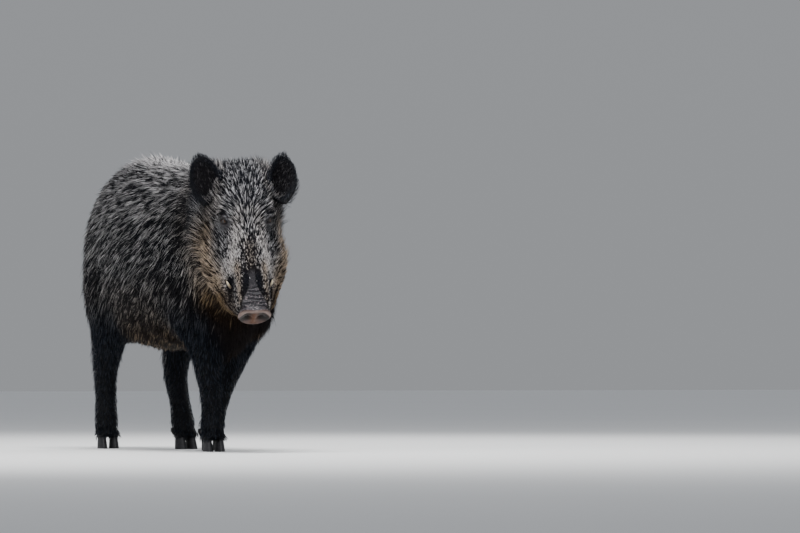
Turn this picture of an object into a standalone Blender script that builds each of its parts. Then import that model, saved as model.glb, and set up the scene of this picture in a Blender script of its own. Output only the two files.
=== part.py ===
"""A wild boar at life size, caught in mid-stride with its head lowered and turned to its right.

It faces -Y and stands on Z = 0. The solids are the outer form of the coat. The flesh is modelled whole, from
lofted lengths and muscle ovals melted together, and is then parted into trunk, neck, head, jaw and legs.
"""

import math

import bmesh
import bpy
from mathutils import Matrix, Vector

# Driving dimensions, in metres.
HEAD_LENGTH = 0.452
EAR_LENGTH = 0.146
EAR_WIDTH = 0.094
EAR_THICKNESS = 0.010
EYE_RADIUS = 0.0115
TUSK_LENGTH = 0.034
TUSK_RADIUS = 0.0052
CLAW_LENGTH = 0.062
CLAW_WIDTH = 0.030
CLAW_SPREAD = 0.0175
CLAW_HEIGHT = 0.044
DEWCLAW_LENGTH = 0.026
CLAW_SIDES = 10
TOE_HEIGHT = 0.036

# The head hangs from the poll, turned to the boar's right and pitched down.
POLL = Vector((-0.0475, -0.590, 0.790))
HEAD_YAW = math.radians(-12.5)
HEAD_ROLL = math.radians(-1.5)
HEAD_PITCH = math.radians(65)

GAP = 0.0004
MELT_VOXEL = 0.008
FINE_VOXEL = 0.006
FLESH_TRIANGLES = 2400
RING_SIDES = 28

# The feet stand on the floor. The middle of the box round the whole animal goes to X = Y = 0.
BOX_MIDDLE = Vector((0.0, -0.100, 0.0))

RIGHT, LEFT = -1, 1


# ---------------------------------------------------------------- tools


def clear_scene():
    for old in list(bpy.data.objects):
        bpy.data.objects.remove(old)


def material(name, colour, roughness, metallic=0.0):
    made = bpy.data.materials.get(name)
    if made is None:
        made = bpy.data.materials.new(name)
        made.use_nodes = True
        shader = made.node_tree.nodes["Principled BSDF"]
        shader.inputs["Base Color"].default_value = (*colour, 1)
        shader.inputs["Roughness"].default_value = roughness
        shader.inputs["Metallic"].default_value = metallic
    return made


def link_object(name, mesh):
    made = bpy.data.objects.new(name, mesh)
    bpy.context.scene.collection.objects.link(made)
    return made


def object_of(name, bm):
    bmesh.ops.recalc_face_normals(bm, faces=bm.faces)
    mesh = bpy.data.meshes.new(name)
    bm.to_mesh(mesh)
    bm.free()
    return link_object(name, mesh)


def finish(obj, look):
    obj.data.materials.clear()
    obj.data.materials.append(look)
    obj.data.shade_smooth()
    obj.data.set_sharp_from_angle(angle=math.radians(50))
    return obj


def with_modifiers(obj, *changes):
    """obj with modifiers applied, each given as its type and its settings."""
    for kind, settings in changes:
        modifier = obj.modifiers.new(kind.title(), kind)
        for key, value in settings.items():
            setattr(modifier, key, value)
    bpy.context.view_layer.update()
    evaluated = obj.evaluated_get(bpy.context.evaluated_depsgraph_get())
    mesh = bpy.data.meshes.new_from_object(evaluated)
    obj.modifiers.clear()
    obj.data = mesh
    return obj


def joined(name, parts):
    """One object holding every part's shell, overlapping as they lie."""
    bm = bmesh.new()
    for part in parts:
        bm.from_mesh(part.data)
        bpy.data.objects.remove(part)
    return object_of(name, bm)


def copy_of(obj, name):
    return link_object(name, obj.data.copy())


def boolean(obj, other, operation):
    return with_modifiers(obj, ("BOOLEAN", {"operation": operation, "object": other, "solver": "EXACT"}))


def grown(obj, margin):
    """A copy of obj that stands margin further out all over."""
    copy = copy_of(obj, obj.name + "_grown")
    normals = [vertex.normal.copy() for vertex in copy.data.vertices]
    for vertex, normal in zip(copy.data.vertices, normals):
        vertex.co += normal * margin
    return copy


def make_room(obj, *guests):
    """Cut a bed in obj for each guest, with the gap between touching solids."""
    for guest in guests:
        bed = grown(guest, GAP)
        boolean(obj, bed, "DIFFERENCE")
        bpy.data.objects.remove(bed)


def main_body_of(obj):
    """Keep the largest connected body and drop the crumbs that a cut can leave."""
    bm = bmesh.new()
    bm.from_mesh(obj.data)
    waiting, bodies = set(bm.verts), []
    while waiting:
        front = [waiting.pop()]
        body = list(front)
        while front:
            found = [edge.other_vert(vertex) for vertex in front for edge in vertex.link_edges]
            front = [vertex for vertex in dict.fromkeys(found) if vertex in waiting]
            waiting.difference_update(front)
            body.extend(front)
        bodies.append(body)
    bodies.sort(key=len)
    for body in bodies[:-1]:
        bmesh.ops.delete(bm, geom=body, context="VERTS")
    bm.to_mesh(obj.data)
    bm.free()
    return obj


def parted(obj, name, region):
    """Take what lies inside region off obj as a new object, leaving the gap between the two."""
    piece = copy_of(obj, name)
    boolean(piece, region, "INTERSECT")
    bed = grown(region, GAP)
    boolean(obj, bed, "DIFFERENCE")
    for cutter in (region, bed):
        bpy.data.objects.remove(cutter)
    main_body_of(obj)
    return main_body_of(piece)


def resampled(rows, steps):
    """Rows of numbers with steps - 1 more between each two, on a smooth curve through them."""
    dense = []
    for i in range(len(rows) - 1):
        before, start, end, after = rows[max(i - 1, 0)], rows[i], rows[i + 1], rows[min(i + 2, len(rows) - 1)]
        for step in range(steps):
            t = step / steps
            dense.append(
                tuple(
                    0.5 * (2 * b + (c - a) * t + (2 * a - 5 * b + 4 * c - d) * t**2 + (3 * b - a - 3 * c + d) * t**3)
                    for a, b, c, d in zip(before, start, end, after)
                )
            )
    return [*dense, rows[-1]]


def oval(half_width, up, down, square=2.0, sides=RING_SIDES):
    """Points (across, above) round an oval that may be deeper below its middle than above it."""
    points = []
    for i in range(sides):
        angle = 2 * math.pi * i / sides
        c, s = math.cos(angle), math.sin(angle)
        across = math.copysign(abs(c) ** (2 / square), c) * half_width
        above = math.copysign(abs(s) ** (2 / square), s) * (up if s > 0 else down)
        points.append((across, above))
    return points


def loft(name, rings):
    """A closed skin over rings of points."""
    bm = bmesh.new()
    layers = [[bm.verts.new(p) for p in ring] for ring in rings]
    count = len(layers[0])
    for lower, upper in zip(layers, layers[1:]):
        for i in range(count):
            j = (i + 1) % count
            bm.faces.new((lower[i], lower[j], upper[j], upper[i]))
    bm.faces.new(layers[0])
    bm.faces.new(layers[-1])
    bmesh.ops.triangulate(bm, faces=bm.faces)
    return object_of(name, bm)


def ball(name, centre, radii, turn=Matrix.Identity(4), segments=20, rings=12):
    bm = bmesh.new()
    scale = Matrix.Diagonal((*radii, 1))
    place = Matrix.Translation(centre) @ turn @ scale
    bmesh.ops.create_uvsphere(bm, u_segments=segments, v_segments=rings, radius=1, matrix=place)
    return object_of(name, bm)


def half_space(point, facing, reach=1.5):
    """A block with one face through point, filling the side that facing points to."""
    turn = Vector(facing).to_track_quat("Z", "Y").to_matrix().to_4x4()
    place = Matrix.Translation(point) @ turn @ Matrix.Translation((0, 0, reach / 2))
    bm = bmesh.new()
    bmesh.ops.create_cube(bm, size=reach, matrix=place)
    return object_of("half_space", bm)


# ---------------------------------------------------------------- torso

# Along the spine, from the rump to inside the head: across, along, height of the widest level,
# half width there, rise to the back, drop to the belly, and the section's lean in degrees.
TORSO = [
    (0.000, 0.572, 0.610, 0.030, 0.035, 0.050, 0),
    (0.000, 0.556, 0.610, 0.088, 0.090, 0.125, 0),
    (0.000, 0.500, 0.610, 0.136, 0.170, 0.190, 0),
    (0.000, 0.400, 0.605, 0.162, 0.236, 0.240, 0),
    (0.000, 0.290, 0.590, 0.164, 0.262, 0.288, 0),
    (0.000, 0.190, 0.575, 0.188, 0.272, 0.289, 0),
    (0.000, 0.090, 0.565, 0.204, 0.275, 0.282, 0),
    (0.000, -0.080, 0.565, 0.200, 0.268, 0.282, 0),
    (0.000, -0.240, 0.575, 0.180, 0.262, 0.275, 0),
    (-0.006, -0.350, 0.590, 0.156, 0.235, 0.268, 2),
    (-0.018, -0.450, 0.605, 0.132, 0.212, 0.232, 8),
    (-0.032, -0.535, 0.620, 0.110, 0.184, 0.190, 18),
    (-0.044, -0.600, 0.645, 0.088, 0.100, 0.140, 36),
]


def torso():
    rings = []
    for across, along, height, half_width, up, down, lean in resampled(TORSO, 4):
        turn = Matrix.Rotation(math.radians(lean), 3, "X")
        middle = Vector((across, along, height))
        section = oval(half_width, up, down, square=2.15)
        rings.append([middle + turn @ Vector((x, 0, z)) for x, z in section])
    return loft("torso", rings)


def muscles():
    """The ovals under the skin that fill out shoulders, haunches, brisket and throat."""
    made = []
    for side in (RIGHT, LEFT):
        shoulder = Matrix.Rotation(math.radians(-14), 4, "X")
        made.append(ball("shoulder", (side * 0.112, -0.270, 0.525), (0.064, 0.105, 0.205), shoulder))
        haunch = Matrix.Rotation(math.radians(12), 4, "X")
        made.append(ball("haunch", (side * 0.097, 0.393, 0.530), (0.078, 0.136, 0.205), haunch))
    made.append(ball("brisket", (-0.002, -0.362, 0.405), (0.080, 0.095, 0.140)))
    made.append(ball("throat", (-0.018, -0.470, 0.520), (0.124, 0.078, 0.115)))
    return made


# ---------------------------------------------------------------- legs


def leg_rings(path, grow=0.0, steps=3, sides=20):
    """Rings across a leg's path, whose rows are a point, the half width and the half depth."""
    rows = resampled([(*point, width, depth) for point, width, depth in path], steps)
    middles = [Vector(row[:3]) for row in rows]
    rings = []
    for i, row in enumerate(rows):
        along = (middles[min(i + 1, len(rows) - 1)] - middles[max(i - 1, 0)]).normalized()
        forward = Vector((0, -1, 0))
        forward = (forward - along * forward.dot(along)).normalized()
        across = along.cross(forward)
        width, depth = row[3] + grow, row[4] + grow
        section = oval(width, depth, depth, sides=sides)
        rings.append([middles[i] + across * x + forward * y for x, y in section])
    return rings


def between(start, end, share):
    return tuple(a + (b - a) * share for a, b in zip(start, end))


def front_leg(side, elbow, knee, fetlock, toe):
    """Rows for a front leg, from the shoulder down to where the claws begin."""
    shoulder = (side * 0.112, -0.270, 0.560)
    blade = (side * 0.104, -0.285, 0.630)
    upper = between(shoulder, elbow, 0.5)
    return [
        (blade, 0.030, 0.030),
        (shoulder, 0.062, 0.088),
        (upper, 0.063, 0.090),
        (elbow, 0.053, 0.072),
        (between(elbow, knee, 0.5), 0.043, 0.054),
        (knee, 0.039, 0.045),
        (between(knee, fetlock, 0.55), 0.031, 0.036),
        (fetlock, 0.032, 0.040),
        (between(fetlock, toe, 0.55), 0.029, 0.038),
        (toe, 0.032, 0.042),
    ]


def hind_leg(side, stifle, hock, fetlock, toe):
    """Rows for a hind leg, from the hip down to where the claws begin."""
    hip = (side * 0.098, 0.385, 0.600)
    loin = (side * 0.090, 0.400, 0.680)
    return [
        (loin, 0.030, 0.035),
        (hip, 0.070, 0.120),
        (between(hip, stifle, 0.5), 0.075, 0.135),
        (stifle, 0.062, 0.112),
        (between(stifle, hock, 0.55), 0.048, 0.074),
        (hock, 0.038, 0.056),
        (between(hock, fetlock, 0.55), 0.030, 0.038),
        (fetlock, 0.032, 0.041),
        (between(fetlock, toe, 0.55), 0.029, 0.038),
        (toe, 0.032, 0.042),
    ]


# Where each foot stands, and the way it points in degrees to the boar's left.
HOOVES = {
    "front_right": (Vector((-0.068, -0.424, 0)), -6),
    "front_left": (Vector((0.030, -0.150, 0)), 4),
    "hind_right": (Vector((-0.098, 0.398, 0)), -6),
    "hind_left": (Vector((0.074, 0.198, 0)), 6),
}


def toe_of(foot):
    place, _ = HOOVES[foot]
    return (place.x, place.y + 0.012, TOE_HEIGHT)


# Each leg's rows, from its elbow, knee and fetlock, or its stifle, hock and fetlock.
LEGS = {
    "front_right": front_leg(
        RIGHT, (-0.082, -0.325, 0.375), (-0.061, -0.370, 0.215), (-0.062, -0.402, 0.088), toe_of("front_right")
    ),
    "front_left": front_leg(
        LEFT, (0.112, -0.222, 0.375), (0.073, -0.152, 0.222), (0.040, -0.118, 0.088), toe_of("front_left")
    ),
    "hind_right": hind_leg(
        RIGHT, (-0.110, 0.325, 0.430), (-0.096, 0.430, 0.240), (-0.097, 0.416, 0.088), toe_of("hind_right")
    ),
    "hind_left": hind_leg(
        LEFT, (0.114, 0.270, 0.430), (0.084, 0.330, 0.240), (0.077, 0.240, 0.088), toe_of("hind_left")
    ),
}


# ---------------------------------------------------------------- head


def head_place():
    """From the head's own frame, with the snout towards -Y and the forehead up, to where it hangs."""
    turn = Matrix.Rotation(HEAD_YAW, 4, "Z") @ Matrix.Rotation(HEAD_ROLL, 4, "Y") @ Matrix.Rotation(HEAD_PITCH, 4, "X")
    return Matrix.Translation(POLL) @ turn


def head_turn():
    return head_place().to_quaternion().to_matrix().to_4x4()


def on_head(across, share, above):
    return head_place() @ Vector((across, -share * HEAD_LENGTH, above))


# Along the head from behind the poll to the snout: share of the head's length, height of the ridge,
# its half width, how full the face is between ridge and cheek, the cheek's half width and height, bottom.
HEAD = [
    (-0.080, -0.006, 0.050, 0.60, 0.076, -0.070, -0.150),
    (-0.020, 0.020, 0.062, 0.60, 0.086, -0.080, -0.170),
    (0.080, 0.038, 0.068, 0.60, 0.091, -0.085, -0.185),
    (0.200, 0.049, 0.066, 0.60, 0.091, -0.085, -0.190),
    (0.310, 0.053, 0.058, 0.60, 0.093, -0.084, -0.186),
    (0.400, 0.049, 0.052, 0.60, 0.099, -0.084, -0.178),
    (0.520, 0.041, 0.046, 0.55, 0.108, -0.084, -0.165),
    (0.610, 0.037, 0.046, 0.45, 0.108, -0.084, -0.155),
    (0.690, 0.036, 0.048, 0.35, 0.101, -0.084, -0.146),
    (0.770, 0.035, 0.050, 0.25, 0.089, -0.078, -0.134),
    (0.850, 0.034, 0.050, 0.15, 0.075, -0.070, -0.116),
    (0.910, 0.034, 0.047, 0.10, 0.056, -0.052, -0.086),
    (0.955, 0.035, 0.044, 0.00, 0.044, -0.018, -0.040),
]


def face_section(top, ridge, fullness, cheek, cheek_height, bottom):
    """A ring of points (across, above): a flat ridge, sloping face, round cheeks and a narrower throat."""
    drop = top - cheek_height
    right_side = [
        (ridge * 0.55, top - 0.02 * drop),
        (ridge, top - 0.12 * drop),
        (ridge + fullness * (cheek - ridge), top - 0.55 * drop),
        (cheek, cheek_height),
        (cheek * 0.74, cheek_height + 0.74 * (bottom - cheek_height)),
    ]
    left_side = [(-x, z) for x, z in reversed(right_side)]
    return closed_curve([(0, top), *right_side, (0, bottom), *left_side], 3)


def closed_curve(points, steps):
    """Points with steps - 1 more between each two, on a smooth closed curve through them."""
    looped = resampled([points[-1], *points, *points[:2]], steps)
    return looped[steps : steps * (len(points) + 1)]


def head_shapes():
    rings = []
    for share, *section in resampled(HEAD, 3):
        rings.append([on_head(x, share, z) for x, z in face_section(*section)])
    made = [loft("head", rings)]
    for side in (RIGHT, LEFT):
        made.append(ball("brow", on_head(side * 0.053, 0.320, 0.032), (0.026, 0.026, 0.019), head_turn()))
    return made


EYE_PLACE = (0.0435, 0.358)
EYE_PROUD = 0.0015
LID_OPENING = (0.0110, 0.0090, 0.0055)


def seat(flesh, across, share, side_lean):
    """The point on the flesh above a place on the head, and the outward direction there."""
    outward = head_turn().to_3x3() @ Vector((math.sin(side_lean), 0, math.cos(side_lean)))
    start = on_head(across, share, 0) + outward * HEAD_LENGTH
    found, point, _, _ = flesh.ray_cast(start, -outward)
    assert found
    return point, outward


def eye(name, flesh, side):
    """An eyeball whose front stands just proud of the flesh, and the opening between the lids over it."""
    lean = side * math.radians(38)
    point, outward = seat(flesh, side * EYE_PLACE[0], EYE_PLACE[1], lean)
    turn = head_turn() @ Matrix.Rotation(lean, 4, "Y")
    eyeball = ball(name, point - outward * (EYE_RADIUS - EYE_PROUD), [EYE_RADIUS] * 3, turn, 12, 8)
    make_room(flesh, eyeball)
    opening = ball("opening", point, LID_OPENING, turn, 10, 7)
    boolean(flesh, opening, "DIFFERENCE")
    bpy.data.objects.remove(opening)
    return eyeball


def snout():
    """The flat gristle disc that ends the nose, with its raised rim and two nostrils."""
    rows = [
        (0.945, 0.0360, 0.030, 0.030),
        (0.975, 0.0425, 0.036, 0.035),
        (0.988, 0.0468, 0.040, 0.037),
        (0.999, 0.0478, 0.041, 0.038),
        (1.007, 0.0455, 0.039, 0.036),
        (1.003, 0.0380, 0.031, 0.029),
    ]
    rings = []
    for share, half_width, top, bottom in rows:
        rings.append([on_head(x, share, z) for x, z in oval(half_width, top, bottom, 2.5, 22)])
    disc = loft("snout", rings)
    for side in (RIGHT, LEFT):
        lean = Matrix.Rotation(math.radians(side * 20), 4, "Y")
        nostril = ball(
            "nostril", on_head(side * 0.0185, 1.01, 0.004), (0.0085, 0.013, 0.0125), head_turn() @ lean, 10, 6
        )
        boolean(disc, nostril, "DIFFERENCE")
        bpy.data.objects.remove(nostril)
    return disc


def tusk(name, flesh, side):
    """A short canine that leaves the lip and curves up beside it."""
    point, outward = seat(flesh, side * 0.068, 0.735, side * math.radians(22))
    up = head_turn().to_3x3() @ Vector((0, 1, 0))
    steps = 5
    rings = []
    for i in range(steps + 1):
        t = i / steps
        radius = TUSK_RADIUS * math.sqrt(1.02 - t**2)
        middle = point + up * (TUSK_LENGTH * (t - 0.5)) + outward * (0.009 * math.sin(math.pi * min(t, 0.8)) - 0.005)
        across = up.cross(outward)
        rings.append([middle + across * x + outward * y for x, y in oval(radius, radius, radius, 2, 8)])
    return loft(name, rings)


def ear_spread(v):
    """Share of the ear's full half width at share v of its length, from a narrow root to a round tip."""
    widest = 0.45
    if v < widest:
        return 0.56 + 0.44 * math.sin(math.pi / 2 * v / widest)
    tip = (v - widest) / (1 - widest)
    return max(math.sqrt(1 - tip**2 * 0.97), 0.16)


def ear(name, side, across):
    """A cupped leaf of skin and hair, open to the front, thickened from one curved sheet."""
    rows, columns = 8, 6
    root = on_head(side * across, 0.190, -0.018)
    outward = math.radians(17)
    up = Vector((side * math.sin(outward), 0.10, math.cos(outward))).normalized()
    turn = HEAD_YAW + side * math.radians(16)
    front = Vector((math.sin(turn), -math.cos(turn), 0))
    front = (front - up * front.dot(up)).normalized()
    breadth = up.cross(front)
    bm = bmesh.new()
    grid = []
    for i in range(rows):
        v = i / (rows - 1)
        reach = 0.5 * EAR_WIDTH * ear_spread(v)
        curl = math.radians(150 - 85 * v**0.7)
        radius = reach / math.sin(curl / 2)
        line = []
        for j in range(columns + 1):
            angle = curl * (j / columns - 0.5)
            sideways = radius * math.sin(angle)
            forward = radius * (1 - math.cos(angle)) - 0.020 * v
            line.append(bm.verts.new(root + breadth * sideways + front * forward + up * EAR_LENGTH * v))
        grid.append(line)
    for lower, upper in zip(grid, grid[1:]):
        for j in range(columns):
            bm.faces.new((lower[j], lower[j + 1], upper[j + 1], upper[j]))
    made = object_of(name, bm)
    return with_modifiers(made, ("SOLIDIFY", {"thickness": EAR_THICKNESS, "offset": 0, "use_even_offset": True}))


# ---------------------------------------------------------------- tail and claws


def tail():
    """A thin tail that hangs clear of the rump and ends in a tuft."""
    path = [
        ((0.000, 0.520, 0.745), 0.020),
        ((0.000, 0.562, 0.730), 0.020),
        ((0.002, 0.588, 0.685), 0.018),
        ((0.004, 0.600, 0.615), 0.016),
        ((0.005, 0.602, 0.545), 0.016),
        ((0.004, 0.600, 0.475), 0.022),
        ((0.002, 0.597, 0.420), 0.019),
        ((0.001, 0.595, 0.385), 0.006),
    ]
    return loft("tail", leg_rings([(point, width, width * 0.8) for point, width in path], steps=2, sides=8))


def foot_frame(foot):
    """From the foot's own frame, toes towards -Y on the floor, to where it stands."""
    place, heading = HOOVES[foot]
    return Matrix.Translation(place) @ Matrix.Rotation(math.radians(heading), 4, "Z")


def claw(name, foot, side):
    """One of a hoof's two main claws: a flat sole, a blunt tip and a wall that slopes back."""
    frame = foot_frame(foot)
    rows = [(0.0, 1.00, 1.00), (0.25, 0.97, 0.95), (0.6, 0.86, 0.84), (1.0, 0.66, 0.70)]
    rings = []
    for height, width_share, length_share in rows:
        ring = []
        for i in range(CLAW_SIDES):
            angle = 2 * math.pi * i / CLAW_SIDES
            across, along = math.cos(angle), math.sin(angle)
            taper = 1 - 0.28 * max(along, 0) ** 2
            x = side * CLAW_SPREAD + across * taper * CLAW_WIDTH / 2 * width_share
            y = -along * CLAW_LENGTH / 2 * length_share + 0.010 * height
            ring.append(frame @ Vector((x, y, height * CLAW_HEIGHT)))
        rings.append(ring)
    return loft(name, rings)


def dewclaw(name, foot, side):
    """The small claw behind and above, clear of the ground."""
    frame = foot_frame(foot)
    turn = Matrix.Rotation(math.radians(side * 14), 4, "Y") @ Matrix.Rotation(math.radians(-28), 4, "X")
    radii = (0.0085, 0.0095, DEWCLAW_LENGTH / 2)
    return ball(name, frame @ Vector((side * 0.021, 0.046, 0.052)), radii, frame.to_3x3().to_4x4() @ turn, 6, 5)


# ---------------------------------------------------------------- assembly

clear_scene()
coat = material("coat", (0.05, 0.045, 0.04), 0.7)
horn = material("horn", (0.06, 0.05, 0.045), 0.45)

legs = [loft(foot, leg_rings(path)) for foot, path in LEGS.items()]
flesh = joined("body", [torso(), *muscles(), *[copy_of(leg, "thigh") for leg in legs]])
with_modifiers(
    flesh,
    ("REMESH", {"mode": "VOXEL", "voxel_size": MELT_VOXEL}),
    ("SMOOTH", {"factor": 0.5, "iterations": 40}),
)
flesh = joined("trunk", [flesh, *legs, *head_shapes()])
with_modifiers(
    flesh,
    ("REMESH", {"mode": "VOXEL", "voxel_size": FINE_VOXEL}),
    ("SMOOTH", {"factor": 0.5, "iterations": 7}),
)
with_modifiers(flesh, ("DECIMATE", {"ratio": FLESH_TRIANGLES / (2 * len(flesh.data.polygons))}))

nose = finish(snout(), material("snout", (0.30, 0.20, 0.17), 0.5))
horny = []
for foot in HOOVES:
    for side, hand in ((RIGHT, "right"), (LEFT, "left")):
        horny.append(finish(claw(f"claw_{foot}_{hand}", foot, side), horn))
        horny.append(finish(dewclaw(f"dewclaw_{foot}_{hand}", foot, side), horn))
for side, hand in ((RIGHT, "right"), (LEFT, "left")):
    horny.append(finish(tusk(f"tusk_{hand}", flesh, side), material("ivory", (0.75, 0.68, 0.52), 0.35)))
make_room(flesh, nose, *horny)
for side, hand in ((RIGHT, "right"), (LEFT, "left")):
    finish(eye(f"eye_{hand}", flesh, side), material("eye", (0.05, 0.025, 0.015), 0.1))
main_body_of(flesh)

for name, side, across in (("ear_right", RIGHT, 0.083), ("ear_left", LEFT, 0.093)):
    leaf = finish(ear(name, side, across), material("ear", (0.02, 0.02, 0.02), 0.7))
    make_room(leaf, flesh)
    main_body_of(leaf)
brush = finish(tail(), coat)
make_room(brush, flesh)
main_body_of(brush)

for foot, path in LEGS.items():
    finish(parted(flesh, f"leg_{foot}", loft("region", leg_rings(path, grow=0.030, steps=1, sides=12))), coat)
neck = finish(parted(flesh, "neck", half_space((0, -0.372, 0.600), (0, -1, -0.24))), coat)
head = finish(parted(neck, "head", half_space((0, -0.528, 0.600), (-0.16, -1, 0.10))), coat)
jaw_slope = head_turn().to_3x3() @ Vector((0, -0.30, -1))
finish(parted(head, "lower_jaw", half_space(on_head(0, 0.93, -0.040), jaw_slope)), coat)
finish(flesh, coat)

for made in bpy.context.scene.objects:
    for vertex in made.data.vertices:
        vertex.co -= BOX_MIDDLE
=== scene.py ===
"""Looks of a life-size wild boar: one skin with lids and folds, a bristle coat, eyes, tusks and claws."""

import math

import bmesh
import bpy
import numpy as np
from mathutils import Matrix, Vector
from mathutils.bvhtree import BVHTree
from mathutils.kdtree import KDTree


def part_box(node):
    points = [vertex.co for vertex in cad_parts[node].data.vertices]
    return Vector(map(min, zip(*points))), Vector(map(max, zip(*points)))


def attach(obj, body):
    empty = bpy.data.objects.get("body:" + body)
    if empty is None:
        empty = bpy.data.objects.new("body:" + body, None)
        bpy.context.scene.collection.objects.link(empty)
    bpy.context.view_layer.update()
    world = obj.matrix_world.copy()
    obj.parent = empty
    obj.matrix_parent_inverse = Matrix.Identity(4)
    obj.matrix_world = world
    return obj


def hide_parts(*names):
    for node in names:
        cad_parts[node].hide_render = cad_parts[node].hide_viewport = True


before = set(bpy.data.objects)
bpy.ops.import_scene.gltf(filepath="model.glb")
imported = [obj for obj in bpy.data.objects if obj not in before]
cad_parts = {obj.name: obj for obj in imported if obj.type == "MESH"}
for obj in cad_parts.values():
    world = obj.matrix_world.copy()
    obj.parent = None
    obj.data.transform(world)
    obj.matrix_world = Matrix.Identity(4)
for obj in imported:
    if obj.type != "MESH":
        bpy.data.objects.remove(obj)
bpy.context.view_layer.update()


# ------------------------------------------------------------------ floor, light and camera
# A pale studio floor under three soft boxes: a strong one over the head, and weaker ones from the boar's
# right and from behind. The camera stands low and far off the right front quarter, with a long lens.

STAGE_SIZE = 60.0
CAMERA_BEARING = math.radians(-20)
CAMERA_DISTANCE = 23.905
CAMERA_HEIGHT = 0.30
CAMERA_PAN = math.radians(1.402)
CAMERA_TILT = math.radians(0.554)
LENS_MM = 372.15
SOFT_BOXES = [
    # name, place, size, watts
    ("light_over", (-0.3, -0.9, 4.2), 2.2, 260),
    ("light_right", (-3.0, -2.6, 2.2), 1.6, 60),
    ("light_behind", (1.8, 2.6, 3.0), 2.0, 80),
]
LIT_PLACE = Vector((0, 0, 0.5))
ROOM_STRENGTH = 0.52
HORIZON, OVERHEAD = (0.60, 0.62, 0.65), (0.86, 0.90, 0.97)


def link(name, data):
    """A new object in the scene."""
    made = bpy.data.objects.new(name, data)
    bpy.context.scene.collection.objects.link(made)
    return made


mesh = bpy.data.meshes.new("studio_floor")
edge = STAGE_SIZE / 2
mesh.from_pydata([(-edge, -edge, 0), (edge, -edge, 0), (edge, edge, 0), (-edge, edge, 0)], [], [(0, 1, 2, 3)])
studio_floor = link("studio_floor", mesh)

camera = link("camera", bpy.data.cameras.new("camera"))
camera.data.lens = LENS_MM
camera.data.clip_end = 4 * CAMERA_DISTANCE
camera.location = (
    math.sin(CAMERA_BEARING) * CAMERA_DISTANCE,
    -math.cos(CAMERA_BEARING) * CAMERA_DISTANCE,
    CAMERA_HEIGHT,
)
camera.rotation_euler = (math.pi / 2 + CAMERA_TILT, 0, CAMERA_BEARING - CAMERA_PAN)
bpy.context.scene.camera = camera

for name, place, size, watts in SOFT_BOXES:
    lamp = link(name, bpy.data.lights.new(name, "AREA"))
    lamp.data.shape = "DISK"
    lamp.data.size = size
    lamp.data.energy = watts
    lamp.location = place
    lamp.rotation_euler = (LIT_PLACE - Vector(place)).to_track_quat("-Z", "Y").to_euler()
world = bpy.data.worlds.new("soft_room")
world.use_nodes = True
background = world.node_tree.nodes["Background"].inputs
background["Strength"].default_value = ROOM_STRENGTH
bpy.context.scene.world = world


class Field:
    """A value that varies over a surface, held as a node's output socket. Sums on it add Math nodes."""

    def __init__(self, tree, socket=None):
        self.tree = tree
        self.socket = socket

    def node(self, kind, settings=None, inputs=None, output=0):
        """Add a node, set its settings and then its sockets, and give back one of its outputs."""
        made = self.tree.nodes.new(kind)
        for key, value in (settings or {}).items():
            setattr(made, key, value)
        for key, value in (inputs or {}).items():
            self.feed(made.inputs[key], value)
        return Field(self.tree, made.outputs[output])

    def feed(self, socket, value):
        """Link a field to a socket, or set the socket's own value."""
        if isinstance(value, Field):
            self.tree.links.new(value.socket, socket)
        elif isinstance(value, tuple) and len(value) == 3 and socket.type == "RGBA":
            socket.default_value = (*value, 1)
        else:
            socket.default_value = value

    def sum_of(self, operation, first, second):
        return self.node("ShaderNodeMath", {"operation": operation}, {0: first, 1: second})

    def __add__(self, other):
        return self.sum_of("ADD", self, other)

    def __sub__(self, other):
        return self.sum_of("SUBTRACT", self, other)

    def __rsub__(self, other):
        return self.sum_of("SUBTRACT", other, self)

    def __mul__(self, other):
        return self.sum_of("MULTIPLY", self, other)

    __radd__ = __add__
    __rmul__ = __mul__

    def step(self, start, end):
        """0 before start, 1 after end, and smooth between the two."""
        inputs = {"Value": self, "From Min": start, "From Max": end}
        return self.node("ShaderNodeMapRange", {"interpolation_type": "SMOOTHSTEP"}, inputs)

    def mix(self, first, second):
        """The first colour where this value is 0 and the second where it is 1."""
        settings = {"data_type": "RGBA", "clamp_factor": True}
        return self.node("ShaderNodeMix", settings, {0: self, 6: first, 7: second}, 2)

    def read(self, name):
        """A value that the mesh carries at each of its points."""
        return self.node("ShaderNodeAttribute", {"attribute_name": name}, output=2)

    def place(self):
        """Where on the object a point lies, in metres."""
        return self.node("ShaderNodeTexCoord", output=3)

    def cloud(self, scale, detail=3.0, stretch=None):
        """Soft random patches, about 1 / scale metres across."""
        where = self.place()
        if stretch:
            where = self.node("ShaderNodeMapping", inputs={"Vector": where, "Scale": stretch})
        return self.node("ShaderNodeTexNoise", inputs={"Vector": where, "Scale": scale, "Detail": detail})

    def bump(self, strength, distance, under=None):
        """A normal from this value as height, over another bump."""
        inputs = {"Strength": strength, "Distance": distance, "Height": self}
        if under:
            inputs["Normal"] = under
        return self.node("ShaderNodeBump", inputs=inputs)


def new_finish(name, **constants):
    """A material, its shader's sockets and a field to start expressions from."""
    material = bpy.data.materials.new(name)
    material.use_nodes = True
    shader = material.node_tree.nodes["Principled BSDF"]
    for key, value in constants.items():
        shader.inputs[key.replace("_", " ")].default_value = value
    return material, shader.inputs, Field(material.node_tree)


floor_finish, sockets, f = new_finish("floor_paint", Roughness=0.85, Specular_IOR_Level=0.2)
f.feed(sockets["Base Color"], f.cloud(0.6).mix((0.76, 0.76, 0.75), (0.80, 0.80, 0.79)))
studio_floor.data.materials.append(floor_finish)

# The room is brighter overhead, and meets the far floor at the floor's own tone.
f = Field(world.node_tree)
upwards = f.node("ShaderNodeSeparateXYZ", inputs={0: f.place()}, output=2)
f.feed(background["Color"], upwards.step(0.0, 0.5).mix(HORIZON, OVERHEAD))


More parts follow.
